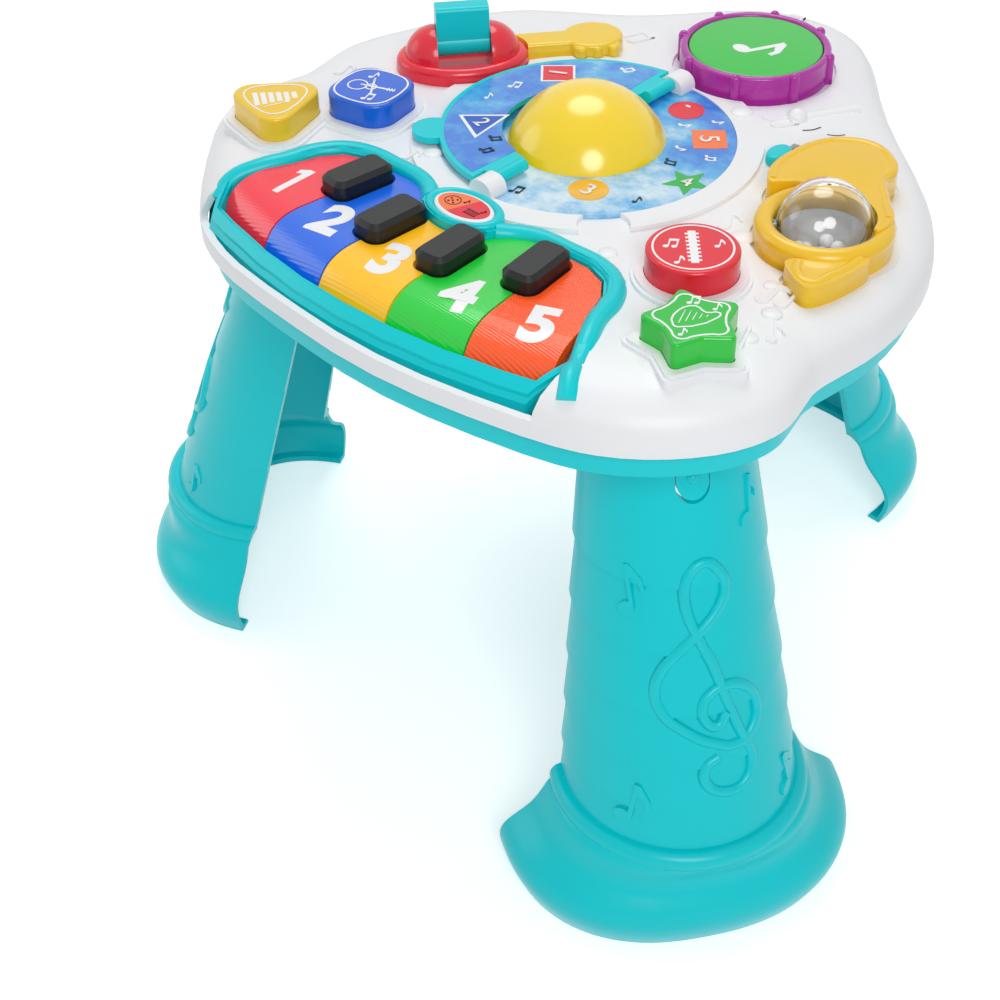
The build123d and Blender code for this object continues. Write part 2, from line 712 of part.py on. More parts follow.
# ---------------------------------------------------------------- legs
cone_top = (141.0, 38.0, floor_z - 2.0)      # middle from the table axis, radius, height
cone_low = (199.0, 61.0, 56.0)
leg_wall = 3.2
cut_low, cut_top = 190.0, 136.0
foot_rows = [(0.0, 187.0, 81.0, 90.0), (16.0, 187.0, 86.0, 95.0), (26.0, 187.5, 83.5, 92.5),
             (33.0, 189.0, 77.0, 85.0), (44.0, 194.0, 69.0, 74.0), (56.0, 199.0, 63.0, 63.0)]
band_z = [195.0, 162.0, 131.0, 104.0, 80.0, 56.0]    # lower edges of the moulded bands
band_step = 1.8


def cone(grow, z0=None, z1=None):
    u1, r1, za = cone_top
    u0, r0, zb = cone_low
    a = Pos(u0, 0, zb) * Circle(r0 - grow)
    b = Pos(u1, 0, za) * Circle(r1 - grow)
    return loft([a, b])


def bands():
    # the leg's outside: rings of cone, each a step proud of the one below at its lower edge
    u1, r1, z1 = cone_top
    u0, r0, z0 = cone_low
    body, high = None, z1
    for low in band_z:
        a, b = (high - z0) / (z1 - z0), (low - z0) / (z1 - z0)
        ring = loft([Pos(u0 + (u1 - u0) * b, 0, low) * Circle(r0 + (r1 - r0) * b + band_step),
                     Pos(u0 + (u1 - u0) * a, 0, high) * Circle(r0 + (r1 - r0) * a)])
        body = ring if body is None else body + ring
        high = low
    return body


def foot_plan(u, a, b, z):
    # a squarish oval
    pts = []
    for k in range(24):
        t = math.radians(15 * k)
        c, s = math.cos(t), math.sin(t)
        m = (abs(c) ** foot_power + abs(s) ** foot_power) ** (-1 / foot_power)
        pts.append(Vector(u + a * c * m, b * s * m, z))
    return make_face(Spline(*pts, periodic=True))


foot_power = 2.35


def foot(grow, drop=0.0):
    rows = [foot_plan(u, a - grow, b - grow, z - (drop if z == 0 else 0)) for z, u, a, b in foot_rows]
    return loft(rows)


def leg_back():
    # everything behind the open side of the leg
    pts = [(60, -20), (cut_low, -20), (cut_low, 50), (cut_top, cone_top[2] - 6), (cut_top - 45, cone_top[2] - 6),
           (60, 200)]
    face = make_face(Polyline(*[Vector(u, -150, z) for u, z in pts], close=True))
    return extrude(face, amount=300, dir=(0, 1, 0))


latch_top, latch_low, latch_half = 270.0, 236.0, 8.0


def tongue(grow):
    w = latch_half + grow
    z0 = latch_low - 3.2 * grow
    plan = Pos(0, (z0 + w + latch_top) / 2) * Rectangle(2 * w, latch_top - z0 - w)
    plan += Pos(0, z0 + w) * Circle(w)
    blade = extrude(Plane.YZ * plan, amount=80)
    return Pos(150, 0, 0) * blade


def leg(turn):
    outer = bands() + foot(0) + Pos(cone_low[0], 0, cone_low[2]) * Torus(cone_low[1] + 1.0, 6.0)
    inner = cone(leg_wall) + foot(leg_wall, 1.0)
    shell = outer - inner
    lip = foot(0) - foot(9.0, 1.0)
    shell += lip & (Pos(190, 0, 1.5) * Box(300, 300, 3))
    shell -= Pos(190, 0, -50) * Box(400, 400, 100)
    shell -= leg_back()
    # roof, and the plug that enters the housing
    u1, r1, za = cone_top
    roof = rod(u1, 0, za - 3, floor_z, r1 - 0.6)
    plug = rod(u1, 0, floor_z - 1, floor_z + plug_h, plug_r)
    plug -= rod(u1, 0, floor_z + 2, floor_z + plug_h + 1, plug_r - 3)
    shell += roof + plug
    shell -= tongue(0.5)
    return leg_frame(turn) * shell


def latch(turn):
    skin = bands() - cone(leg_wall)
    tab = skin & tongue(0)
    u1, r1, za = cone_top
    tab &= Pos(200, 0, 250) * Box(100, 30, 2 * (latch_top - 0.3 - 250))
    t = (246.0 - cone_low[2]) / (za - cone_low[2])
    front = cone_low[0] + (u1 - cone_low[0]) * t + cone_low[1] + (r1 - cone_low[1]) * t
    dimple = Pos(front - 0.6, 0, 246.0) * Sphere(3.4)
    return leg_frame(turn) * (tab + dimple)


# ---------------------------------------------------------------- write the pieces
def main():
    save("top_panel", top_panel())
    save("lower_housing", lower_housing())
    save("keyboard_frame", on_board(keyboard_frame()))
    save("key_bed", on_board(key_bed()))
    save("key_axle", on_board(key_axle()))
    save("key_pads", on_board(key_pads()))
    for n in range(5):
        save(f"key_{n + 1}", on_board(key(n)))
    for n in range(4):
        save(f"black_key_{n + 1}", on_board(black_key(n)))
    save("mode_rocker", on_board(mode_rocker()))
    save("disc_base", disc_base())
    save("flip_page", flip_page())
    save("dome_lens", dome_lens())
    save("lamp_board", lamp_board())
    save("dome_lamps", dome_lamps())
    for name, (at, plan) in buttons.items():
        save(name, button(at, plan))
    save("button_pads", button_pads())
    save("drum_rim", drum_rim())
    save("drum_head", drum_head())
    save("guitar_body", guitar_body())
    save("guitar_neck", guitar_neck())
    save("strum_paddle", strum_paddle())
    save("strum_axle", strum_axle())
    save("horn_body", horn_body())
    save("ball_half_front", ball_half(-1))
    save("ball_half_back", ball_half(1))
    save("ball_beads", ball_beads())
    save("volume_slider", volume_slider())
    save("speaker", speaker_can())
    save("circuit_board", circuit_board())
    save("battery_cells", battery_cells())
    save("battery_contacts", battery_contacts())
    save("battery_door", battery_door())
    save("door_screw", pan_screw(bay_at[0], bay_at[1] + door_screw_y, floor_z - 0.4, 10.5))
    save("housing_screws", housing_screws())
    for name, turn in leg_turns.items():
        save(f"leg_{name}", leg(turn))
        save(f"latch_{name}", latch(turn))


main()
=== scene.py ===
import math

import bpy
from mathutils import Matrix, Vector


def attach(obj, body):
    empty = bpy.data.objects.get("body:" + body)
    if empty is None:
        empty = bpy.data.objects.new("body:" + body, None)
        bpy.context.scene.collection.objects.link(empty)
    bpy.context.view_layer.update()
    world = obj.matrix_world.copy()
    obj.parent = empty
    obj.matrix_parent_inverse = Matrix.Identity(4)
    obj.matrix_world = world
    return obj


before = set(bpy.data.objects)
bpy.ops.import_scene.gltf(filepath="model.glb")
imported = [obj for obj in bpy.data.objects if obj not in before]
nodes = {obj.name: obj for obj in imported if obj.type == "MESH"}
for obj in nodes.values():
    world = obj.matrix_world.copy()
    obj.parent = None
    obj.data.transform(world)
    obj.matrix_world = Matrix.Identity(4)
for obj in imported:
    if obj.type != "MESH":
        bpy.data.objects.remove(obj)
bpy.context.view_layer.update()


# --------------------------------------------------------------- camera, floor and light
# A plain pale floor with soft studio light: one large lamp from the right of the front, one
# from above and a low one from the left. The floor runs out into white.
bpy.ops.object.select_all(action="DESELECT")
right = Vector((0.72275616, 0.69098358, -0.0128544))
up = Vector((-0.43886231, 0.47325145, 0.76382782))
back = Vector((0.53387584, -0.54641995, 0.64529205))
turn = Matrix((right, up, back)).transposed()
bpy.ops.object.camera_add(location=(0.549433, -0.663838, 0.778288), rotation=turn.to_euler())
camera = bpy.context.object
camera.data.sensor_width = 36.0
camera.data.lens = 64.8
bpy.context.scene.camera = camera
bpy.context.scene.view_settings.view_transform = "Standard"


def paint(code):
    # an sRGB hex colour as linear light
    parts = [int(code[n:n + 2], 16) / 255 for n in (0, 2, 4)]
    return (*[c / 12.92 if c <= 0.04045 else ((c + 0.055) / 1.055) ** 2.4 for c in parts], 1.0)


def add(tree, kind, links=None, **settings):
    # one shader node: settings by attribute or socket, links as socket -> another node's output
    node = tree.nodes.new(kind)
    for key, value in settings.items():
        if hasattr(node, key):
            setattr(node, key, value)
        else:
            node.inputs[key.replace("_", " ")].default_value = value
    for socket, source in (links or {}).items():
        tree.links.new(source, node.inputs[socket])
    return node


def empty_material(name):
    # a material with its node tree cleared
    material = bpy.data.materials.new(name)
    material.use_nodes = True
    material.node_tree.nodes.clear()
    return material, material.node_tree


def to_the_eye(tree):
    # 1 where the eye sees it, straight or mirrored in a gloss or through clear plastic
    path = add(tree, "ShaderNodeLightPath")
    near = add(tree, "ShaderNodeMath", {0: path.outputs["Is Camera Ray"], 1: path.outputs["Is Glossy Ray"]},
               operation="MAXIMUM")
    both = add(tree, "ShaderNodeMath", {0: near.outputs[0], 1: path.outputs["Is Transmission Ray"]},
               operation="MAXIMUM")
    return both.outputs[0]


def pale_floor():
    # white to the eye, and it keeps the shadow that the table throws
    material, tree = empty_material("pale_floor")
    lit = add(tree, "ShaderNodeBsdfDiffuse", Color=paint("f4f4f4"))
    glow = add(tree, "ShaderNodeEmission", Color=paint("ffffff"), Strength=0.5)
    both = add(tree, "ShaderNodeAddShader", {0: lit.outputs[0], 1: glow.outputs[0]})
    seen = add(tree, "ShaderNodeMixShader",
               {0: to_the_eye(tree), 1: lit.outputs[0], 2: both.outputs[0]})
    add(tree, "ShaderNodeOutputMaterial", {"Surface": seen.outputs[0]})
    return material


bpy.ops.mesh.primitive_plane_add(size=12, location=(0, 0, -0.0004))
floor = bpy.context.object
floor.name = "floor"
floor.data.materials.append(pale_floor())

world = bpy.data.worlds.new("studio")
bpy.context.scene.world = world
world.use_nodes = True
world.node_tree.nodes.clear()
sky = add(world.node_tree, "ShaderNodeBackground", Color=paint("f6f8fa"), Strength=0.38)
white = add(world.node_tree, "ShaderNodeBackground", Color=paint("ffffff"), Strength=1.0)
seen = add(world.node_tree, "ShaderNodeMixShader",
           {0: to_the_eye(world.node_tree), 1: sky.outputs[0], 2: white.outputs[0]})
add(world.node_tree, "ShaderNodeOutputWorld", {"Surface": seen.outputs[0]})


def lamp(name, place, target, size, power):
    # a round soft lamp aimed at a point
    bpy.ops.object.light_add(type="AREA", location=place)
    light = bpy.context.object
    light.name = name
    light.data.shape = "DISK"
    light.data.size = size
    light.data.energy = power
    light.rotation_euler = (Vector(target) - Vector(place)).to_track_quat("-Z", "Y").to_euler()


lamp("key_lamp", (1.2, -1.0, 1.35), (0, 0, 0.2), 0.9, 14)
lamp("top_lamp", (-0.5, 0.5, 1.9), (0, 0, 0.25), 1.1, 12)
lamp("left_lamp", (-1.5, -0.9, 0.9), (0, 0, 0.15), 1.0, 3)


# --------------------------------------------------------------- moulded plastics
# The pieces that the solids already show: each keeps its own shape and gets the plastic,
# metal or rubber it is made of, with its faces smoothed across the fine straight runs.
def plastic(name, colour, rough, coat=0.0):
    # injection-moulded ABS: even colour and a soft broad gloss
    material, tree = empty_material(name)
    shade = add(tree, "ShaderNodeBsdfPrincipled", Base_Color=paint(colour), Roughness=rough, IOR=1.53)
    shade.inputs["Coat Weight"].default_value = coat
    shade.inputs["Coat Roughness"].default_value = 0.06
    shade.inputs["Specular IOR Level"].default_value = 0.3
    add(tree, "ShaderNodeOutputMaterial", {"Surface": shade.outputs[0]})
    return material


def clear(name, colour, rough, weight):
    # see-through moulded plastic
    material, tree = empty_material(name)
    shade = add(tree, "ShaderNodeBsdfPrincipled", Base_Color=paint(colour), Roughness=rough, IOR=1.49)
    shade.inputs["Transmission Weight"].default_value = weight
    add(tree, "ShaderNodeOutputMaterial", {"Surface": shade.outputs[0]})
    return material


def metal(name, colour, rough):
    # drawn or plated steel
    material, tree = empty_material(name)
    shade = add(tree, "ShaderNodeBsdfPrincipled", Base_Color=paint(colour), Roughness=rough, Metallic=1.0)
    add(tree, "ShaderNodeOutputMaterial", {"Surface": shade.outputs[0]})
    return material


def finish(node, material, angle=28):
    # the node keeps its mesh; its loose faces are welded and smoothed as it is shown
    piece = nodes[node]
    piece.data.materials.clear()
    piece.data.materials.append(material)
    for face in piece.data.polygons:
        face.use_smooth = True
    weld = piece.modifiers.new("weld", "WELD")
    weld.merge_threshold = 0.00001
    split = piece.modifiers.new("split", "EDGE_SPLIT")
    split.split_angle = math.radians(angle)
    split.use_edge_sharp = False


teal = plastic("teal_abs", "00d2da", 0.3)
white_abs = plastic("white_abs", "f2f3f5", 0.36)
steel = metal("drawn_steel", "b9bcbf", 0.3)
rubber = plastic("silicone_rubber", "cfd2d2", 0.6)
board_green = plastic("board_laminate", "2d6b45", 0.45)

for name in ("lower_housing", "battery_door", "keyboard_frame", "leg_left", "leg_right", "leg_rear",
             "latch_left", "latch_right", "latch_rear", "strum_paddle", "volume_slider"):
    finish(name, teal)
for name in ("top_panel", "mode_rocker", "key_bed"):
    finish(name, white_abs)
for name in ("key_axle", "strum_axle", "battery_contacts", "door_screw", "housing_screws"):
    finish(name, steel)
for name in ("key_pads", "button_pads"):
    finish(name, rubber)
for name in ("circuit_board", "lamp_board"):
    finish(name, board_green)
black = plastic("black_abs", "17191a", 0.36)
for number in range(1, 5):
    finish(f"black_key_{number}", black)
finish("dome_lamps", clear("lamp_clear", "ffffff", 0.05, 1.0))
for name, colour in (("red_button", "e8152e"), ("star_button", "17c437"), ("blue_button", "0a62dc"),
                     ("yellow_button", "f6cb22"), ("drum_rim", "b22aa2"), ("drum_head", "14c436"),
                     ("guitar_body", "ea2438"), ("guitar_neck", "f7cf2e"), ("horn_body", "f4c522"),
                     ("ball_beads", "e6e9ee"), ("speaker", "2b2c2e"), ("battery_cells", "5a5c60")):
    finish(name, plastic(name + "_abs", colour, 0.25, 0.4))
ball_clear = clear("ball_clear", "ffffff", 0.03, 1.0)
for name in ("ball_half_front", "ball_half_back"):
    finish(name, ball_clear)


# --------------------------------------------------------------- keys and their numbers
# Five tinted keys with a painted glow in place of light through their plastic, moulded with fine
# ribs that catch the light, each with a bold white number printed on it that follows its rounded front.
def tinted(name, colour, ribs):
    # polished tinted plastic with a painted glow in place of light through it; the ribs show as fine lines
    # 1.2 mm apart
    material, tree = empty_material(name)
    spot = add(tree, "ShaderNodeTexCoord")
    wave = add(tree, "ShaderNodeTexWave", {"Vector": spot.outputs["Object"]}, Scale=260.0, Distortion=0.3)
    wave.bands_direction = "Y"
    bump = add(tree, "ShaderNodeBump", {"Height": wave.outputs["Fac"]}, Strength=ribs, Distance=0.0004)
    shade = add(tree, "ShaderNodeBsdfPrincipled", {"Normal": bump.outputs["Normal"]},
                Base_Color=paint(colour), Roughness=0.16, IOR=1.5)
    shade.inputs["Coat Weight"].default_value = 0.3
    shade.inputs["Coat Roughness"].default_value = 0.05
    # painted glow: the emission lifts the colour in place of light coming through the plastic
    shade.inputs["Emission Color"].default_value = paint(colour)
    shade.inputs["Emission Strength"].default_value = 0.16
    add(tree, "ShaderNodeOutputMaterial", {"Surface": shade.outputs[0]})
    return material


def deselect():
    bpy.ops.object.select_all(action="DESELECT")


disc_x, disc_y = 4.1782, -37.314


def at(x, y, z):
    # millimetres from the middle of the printed disc, in the table's own frame in metres
    return Vector((x + disc_x, y + disc_y, z)) / 1000


def take(piece):
    # the piece alone is picked and active
    deselect()
    piece.select_set(True)
    bpy.context.view_layer.objects.active = piece


def tidy(piece):
    # doubles merged and every face turned outwards
    take(piece)
    bpy.ops.object.mode_set(mode="EDIT")
    bpy.ops.mesh.select_all(action="SELECT")
    bpy.ops.mesh.remove_doubles(threshold=0.000005)
    bpy.ops.mesh.normals_make_consistent(inside=False)
    bpy.ops.object.mode_set(mode="OBJECT")


def settle(piece, name, body, material, angle=35):
    # the piece's place goes into its mesh, and it rides its body
    take(piece)
    bpy.ops.object.transform_apply(location=True, rotation=True, scale=True)
    piece.name = piece.data.name = name
    piece.data.materials.clear()
    piece.data.materials.append(material)
    if angle:
        bpy.ops.object.shade_smooth_by_angle(angle=math.radians(angle))
    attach(piece, body)
    return piece


def apply_all(piece):
    # the piece's modifiers go into its mesh, in their order
    take(piece)
    for modifier in list(piece.modifiers):
        bpy.ops.object.modifier_apply(modifier=modifier.name)


def figure(text, height, bold):
    # one printed number, flat, its middle at the origin
    deselect()
    bpy.ops.object.text_add()
    word = bpy.context.object
    word.data.body = text
    word.data.align_x = "CENTER"
    word.data.size = height / 730
    word.data.offset = bold / 1000
    bpy.ops.object.convert(target="MESH")
    word = bpy.context.object
    lows = [min(v.co[n] for v in word.data.vertices) for n in range(2)]
    highs = [max(v.co[n] for v in word.data.vertices) for n in range(2)]
    for v in word.data.vertices:
        v.co.x -= (lows[0] + highs[0]) / 2
        v.co.y -= (lows[1] + highs[1]) / 2
        v.co *= height / 1000 / (highs[1] - lows[1])
    tidy(word)
    return word


def cut_out(points):
    # a flat shape round the origin from its corners in mm
    deselect()
    bpy.ops.mesh.primitive_circle_add(vertices=len(points), fill_type="NGON")
    shape = bpy.context.object
    for v, (x, y) in zip(shape.data.vertices, points):
        v.co = (x / 1000, y / 1000, 0)
    tidy(shape)
    return shape


def laid(piece, node, lift=0.25, cuts=4):
    # a flat print pressed down onto the curved skin of a node, 0.5 mm thick
    take(piece)
    bpy.ops.object.transform_apply(location=True, rotation=True, scale=True)
    bpy.ops.object.mode_set(mode="EDIT")
    bpy.ops.mesh.select_all(action="SELECT")
    bpy.ops.mesh.quads_convert_to_tris()
    bpy.ops.mesh.subdivide(number_cuts=cuts)
    bpy.ops.object.mode_set(mode="OBJECT")
    wrap = piece.modifiers.new("wrap", "SHRINKWRAP")
    wrap.wrap_method = "PROJECT"
    wrap.target = nodes[node]
    wrap.use_project_z = True
    wrap.use_negative_direction = True
    wrap.use_positive_direction = False
    wrap.offset = lift / 1000
    wall = piece.modifiers.new("wall", "SOLIDIFY")
    wall.thickness = 0.0005
    wall.offset = -1.0
    apply_all(piece)


print_white = plastic("pad_print_white", "f7f8f8", 0.3, 0.2)
one_plan = [(-1.9, -13), (1.9, -13), (1.9, 13), (-1.4, 13), (-5.6, 9.8), (-5.4, 6.4), (-1.9, 7.8)]
for number, colour, x, y, turned in ((1, "f0283c", -79, -131, 1), (2, "0c63de", -37.5, -142, 7),
                                     (3, "ffbf14", 8, -147.5, 12), (4, "17c838", 53, -146, 18),
                                     (5, "ff5512", 95.5, -139, 24)):
    finish(f"key_{number}", tinted(f"tinted_key_{number}", colour, 0.5 if number == 5 else 0.2))
    digit = cut_out(one_plan) if number == 1 else figure(str(number), 26, 1.5)
    digit.location = at(x, y, 330)
    digit.rotation_euler.z = math.radians(turned)
    laid(digit, f"key_{number}")
    settle(digit, f"key_number_{number}", f"key_{number}", print_white)


# --------------------------------------------------------------- keyboard surround
# A round teal bar, most of it sunk in the frame, runs up both sides of the keys and along the
# back, and meets an oval seat that holds the rocker. All of it is moulded with the frame.
def bead(points, radius, closed=False, flat=1.0, steps=4):
    # a round bar along a smooth line of points, in the table's frame
    deselect()
    bpy.ops.curve.primitive_bezier_curve_add()
    line = bpy.context.object
    curve = line.data
    curve.dimensions = "3D"
    spline = curve.splines[0]
    spline.bezier_points.add(len(points) - len(spline.bezier_points))
    for spot, place in zip(spline.bezier_points, points):
        spot.co = place
        spot.handle_left_type = spot.handle_right_type = "AUTO"
    spline.use_cyclic_u = closed
    curve.resolution_u = steps
    curve.bevel_depth = radius / 1000
    curve.bevel_resolution = 3
    curve.use_fill_caps = not closed
    bpy.ops.object.convert(target="MESH")
    bar = bpy.context.object
    if flat != 1.0:
        middle = sum(p.z for p in points) / len(points)
        for v in bar.data.vertices:
            v.co.z = middle + (v.co.z - middle) * flat
    tidy(bar)
    return bar


def skin_height(node, x, y, default):
    # height of a node's skin under a point, in mm
    start = at(x, y, 400)
    hit, place = nodes[node].ray_cast(start, Vector((0, 0, -1)))[:2]
    return place.z * 1000 if hit else default


keys_x = 7.0            # middle of the keyboard
bar_radius = 5.0
over_frame, over_deck = 0.7, 3.2
front_z = 303.0         # skin height where the bar runs past the frame or the deck
side_bar = [(-117.5, -146), (-111, -132), (-105, -119), (-101, -104), (-92, -92), (-78, -86),
            (-58, -85.6), (-40, -86.5), (-30, -91), (-22, -98)]
left_end = [(-116, -156)]
right_end = [(-128.5, -165.5), (-125.5, -161), (-121, -154.5)]
for side, name, end in ((1, "left", left_end), (-1, "right", right_end)):
    line = []
    for x, y in end + side_bar:
        x = side * x + keys_x
        on_frame = skin_height("keyboard_frame", x, y, front_z) + over_frame
        on_deck = skin_height("top_panel", x, y, front_z) + over_deck
        line.append(at(x, y, max(on_frame, on_deck) - bar_radius))
    settle(bead(line, bar_radius), f"surround_bar_{name}", "table", teal, 60)
rocker_x, rocker_y = 7.0, -97.0
deselect()
bpy.ops.mesh.primitive_torus_add(major_radius=0.0202, minor_radius=0.0029, major_segments=64,
                                 minor_segments=14, location=at(rocker_x, rocker_y, 324.2))
rim = bpy.context.object
rim.scale = (1.0, 0.635, 1.0)
settle(rim, "rocker_seat_rim", "table", teal, 60)


# --------------------------------------------------------------- rocker badge
# The oval rocker switches the sound: its face is printed orange on the left and red on the
# right inside a white border, with plain marks for a drum and for keys.
def plate(points, z, thick=0.3):
    # a flat printed shape from its corners
    deselect()
    bpy.ops.mesh.primitive_circle_add(vertices=len(points), fill_type="NGON")
    shape = bpy.context.object
    for v, (x, y) in zip(shape.data.vertices, points):
        v.co = at(x, y, z)
    wall = shape.modifiers.new("wall", "SOLIDIFY")
    wall.thickness = thick / 1000
    wall.offset = 1.0
    tidy(shape)
    if shape.data.polygons[0].normal.z < 0:
        bpy.ops.object.mode_set(mode="EDIT")
        bpy.ops.mesh.select_all(action="SELECT")
        bpy.ops.mesh.flip_normals()
        bpy.ops.object.mode_set(mode="OBJECT")
    apply_all(shape)
    return shape


def swing(px, py, cx, cy, w):
    # a point turned by w and moved to a place
    return cx + px * math.cos(w) - py * math.sin(w), cy + px * math.sin(w) + py * math.cos(w)


def round_plan(cx, cy, a, b, count=40, start=0.0, end=360.0, turned=0.0):
    # points of an oval or of part of one
    closed = abs(end - start) >= 360
    out = []
    for n in range(count):
        t = math.radians(start + (end - start) * n / (count if closed else count - 1))
        out.append(swing(a * math.cos(t), b * math.sin(t), cx, cy, math.radians(turned)))
    return out


def join(parts):
    # several pieces made one mesh
    deselect()
    for part in parts:
        part.select_set(True)
    bpy.context.view_layer.objects.active = parts[0]
    bpy.ops.object.join()
    return bpy.context.object


def stroke(points, wide, z, thick=0.25, closed=False):
    # a printed line of even width
    lifted = [at(x, y, z + thick / 2) for x, y in points]
    return bead(lifted, wide / 2, closed, flat=thick / wide, steps=3)


def note(x, y, z, size, turned=0.0, pair=False, thick=0.3):
    # a quaver, or two joined by a beam; size is the height of its stem in mm
    w = math.radians(turned)

    def put(px, py):
        return swing(px * size, py * size, x, y, w)

    def oval(cx, cy):
        return [put(cx + px, cy + py) for px, py in round_plan(0, 0, 0.2, 0.145, 18, turned=20)]

    def bar(x0, y0, x1, y1, half):
        return [put(x0 - half, y0), put(x0 + half, y0), put(x1 + half, y1), put(x1 - half, y1)]

    plans = [bar(-0.03, -0.4, -0.03, 0.5, 0.05), oval(-0.18, -0.4)]
    if pair:
        plans += [oval(0.37, -0.33), bar(0.52, -0.33, 0.52, 0.57, 0.05),
                  [put(-0.08, 0.3), put(0.57, 0.38), put(0.57, 0.58), put(-0.08, 0.5)]]
    else:
        plans.append([put(-0.08, 0.5), put(0.05, 0.5), put(0.3, 0.22), put(0.34, 0.0), put(0.24, -0.02),
                      put(0.2, 0.14), put(-0.02, 0.28)])
    # each shape a hair thicker than the last, so that no two tops lie in one plane
    return join([plate(plan, z - 0.02 * n, thick + 0.06 * n) for n, plan in enumerate(plans)])


badge_z = 326.55
mark_z = badge_z + 0.25
orange_print = plastic("pad_print_orange", "ff7a3c", 0.3, 0.3)
red_print = plastic("pad_print_red", "e81c30", 0.3, 0.3)
dark_print = plastic("pad_print_black", "1a1416", 0.4)
for name, start, slot, material in (("badge_left", 78, "key_5", orange_print),
                                    ("badge_right", -102, "red_button", red_print)):
    half = round_plan(rocker_x, rocker_y, 15.4, 8.8, 24, start, start + 180)
    settle(plate(half, badge_z), name, "mode_rocker", material, 0)
marks = [stroke(round_plan(-0.5, rocker_y, 4.2, 3.8, 20), 0.5, mark_z, closed=True)]
marks += [plate(round_plan(-0.5 + a, rocker_y + b, 0.55, 0.55, 8), mark_z)
          for a, b in ((-1.8, 1), (1.6, 1.6), (0, -0.2), (-1.4, -1.8), (1.7, -1.6))]
marks += [note(6, -93.5, mark_z, 3.6), note(18.5, -95, mark_z, 3.2)]
marks += [stroke([(11 + n * 1.3, -101), (11 + n * 1.3, -98)], 0.5, mark_z) for n in range(6)]
marks += [stroke([(10.4, y), (18.2, y)], 0.5, mark_z) for y in (-101.4, -97.6)]
settle(join(marks), "badge_marks", "mode_rocker", dark_print, 0)


# --------------------------------------------------------------- disc and page prints
# A blue sky in washed colour is printed on the disc and on the page that turns over it, with
# numbers on plain shapes and small notes; the page has a teal rim, a tab and hinge barrels.
def washed(name, fade):
    # ink on paper under a clear coat: blotches about 25 mm across, paler to one side
    material, tree = empty_material(name)
    spot = add(tree, "ShaderNodeTexCoord")
    cloud = add(tree, "ShaderNodeTexNoise", {"Vector": spot.outputs["Object"]}, Scale=38.0, Detail=5.0,
                Roughness=0.62)
    split = add(tree, "ShaderNodeSeparateXYZ", {"Vector": spot.outputs["Object"]})
    slope = add(tree, "ShaderNodeMath", {0: split.outputs["Y"]}, operation="MULTIPLY")
    slope.inputs[1].default_value = fade
    total = add(tree, "ShaderNodeMath", {0: cloud.outputs["Fac"], 1: slope.outputs[0]}, operation="ADD")
    ramp = add(tree, "ShaderNodeValToRGB", {"Fac": total.outputs[0]})
    stops = ramp.color_ramp.elements
    stops[0].position, stops[0].color = 0.38, paint("1479e0")
    stops[1].position, stops[1].color = 0.78, paint("d6ecf6")
    middle = stops.new(0.56)
    middle.color = paint("4fb2ea")
    shade = add(tree, "ShaderNodeBsdfPrincipled", {"Base Color": ramp.outputs["Color"]}, Roughness=0.25,
                IOR=1.5)
    shade.inputs["Coat Weight"].default_value = 0.5
    add(tree, "ShaderNodeOutputMaterial", {"Surface": shade.outputs[0]})
    return material


finish("disc_base", washed("washed_disc_print", -2.2))
finish("flip_page", teal)
disc_z = 321.8
page_z = skin_height("flip_page", -60, 10, 324.6)
page_print_z = page_z + 0.15
sheet = plate(round_plan(0, 0, 73.5, 73.5, 64, 99, 261) + round_plan(0, 0, 43.5, 43.5, 40, 257, 103),
              page_z + 0.02, 0.12)
settle(sheet, "page_print", "flip_page", washed("washed_page_print", 1.4), 0)

yellow_print = plastic("pad_print_yellow", "f0b628", 0.3, 0.3)
green_print = plastic("pad_print_green", "16b43a", 0.3, 0.3)
blue_print = plastic("pad_print_blue", "0b56c4", 0.3, 0.3)


def star_plan(cx, cy, big, small, turned):
    # corners of a star with five tips, tips and notches in turn
    out = []
    for n in range(10):
        t = math.radians(turned + n * 36)
        r = big if n % 2 == 0 else small
        out.append((cx + r * math.cos(t), cy + r * math.sin(t)))
    return out


def turned_box(cx, cy, wide, tall, turned):
    # corners of a box turned round its middle
    corners = ((-1, -1), (1, -1), (1, 1), (-1, 1))
    return [swing(i * wide / 2, j * tall / 2, cx, cy, math.radians(turned)) for i, j in corners]


def shape_number(text, points, material, centre, z, body, height, turned, border=None):
    # a number on a printed shape, with a white border round some of them
    if border:
        settle(plate(border, z, 0.15), f"shape_border_{text}", body, print_white, 0)
        z += 0.12
    settle(plate(points, z, 0.2), f"shape_{text}", body, material, 0)
    digit = figure(text, height, 0.15)
    digit.location = at(*centre, z + 0.45)
    digit.rotation_euler.z = math.radians(turned)
    take(digit)
    wall = digit.modifiers.new("wall", "SOLIDIFY")
    wall.thickness = 0.0002
    wall.offset = 1.0
    apply_all(digit)
    settle(digit, f"shape_number_{text}", body, print_white, 0)


shape_number("3", round_plan(35.8, -39, 10.2, 10.2), yellow_print, (35.8, -39), disc_z,
             "table", 10, 8)
shape_number("4", star_plan(67, -0.8, 12.8, 5.6, 14), green_print, (67, -0.8), disc_z,
             "table", 8.5, 15)
shape_number("5", turned_box(48.2, 40.6, 17.5, 19, 42), orange_print, (48.2, 40.6), disc_z,
             "table", 10.5, -48)
shape_number("2", [(-54.6, -35.2), (-38.8, -20.8), (-35.6, -44.6)], blue_print, (-42.6, -33.4),
             page_print_z, "flip_page", 9, -12, [(-57.4, -35.6), (-37.8, -17.6), (-34, -47.6)])
shape_number("1", turned_box(-50.5, 33.5, 16, 16, 42), red_print, (-50.5, 33.5), page_print_z,
             "flip_page", 10, -62, turned_box(-50.5, 33.5, 18.6, 18.6, 42))
x, y = 19.7, 56.7
settle(plate(round_plan(x, y, 9.6, 9.6), disc_z, 0.2), "red_spot", "table", red_print, 0)
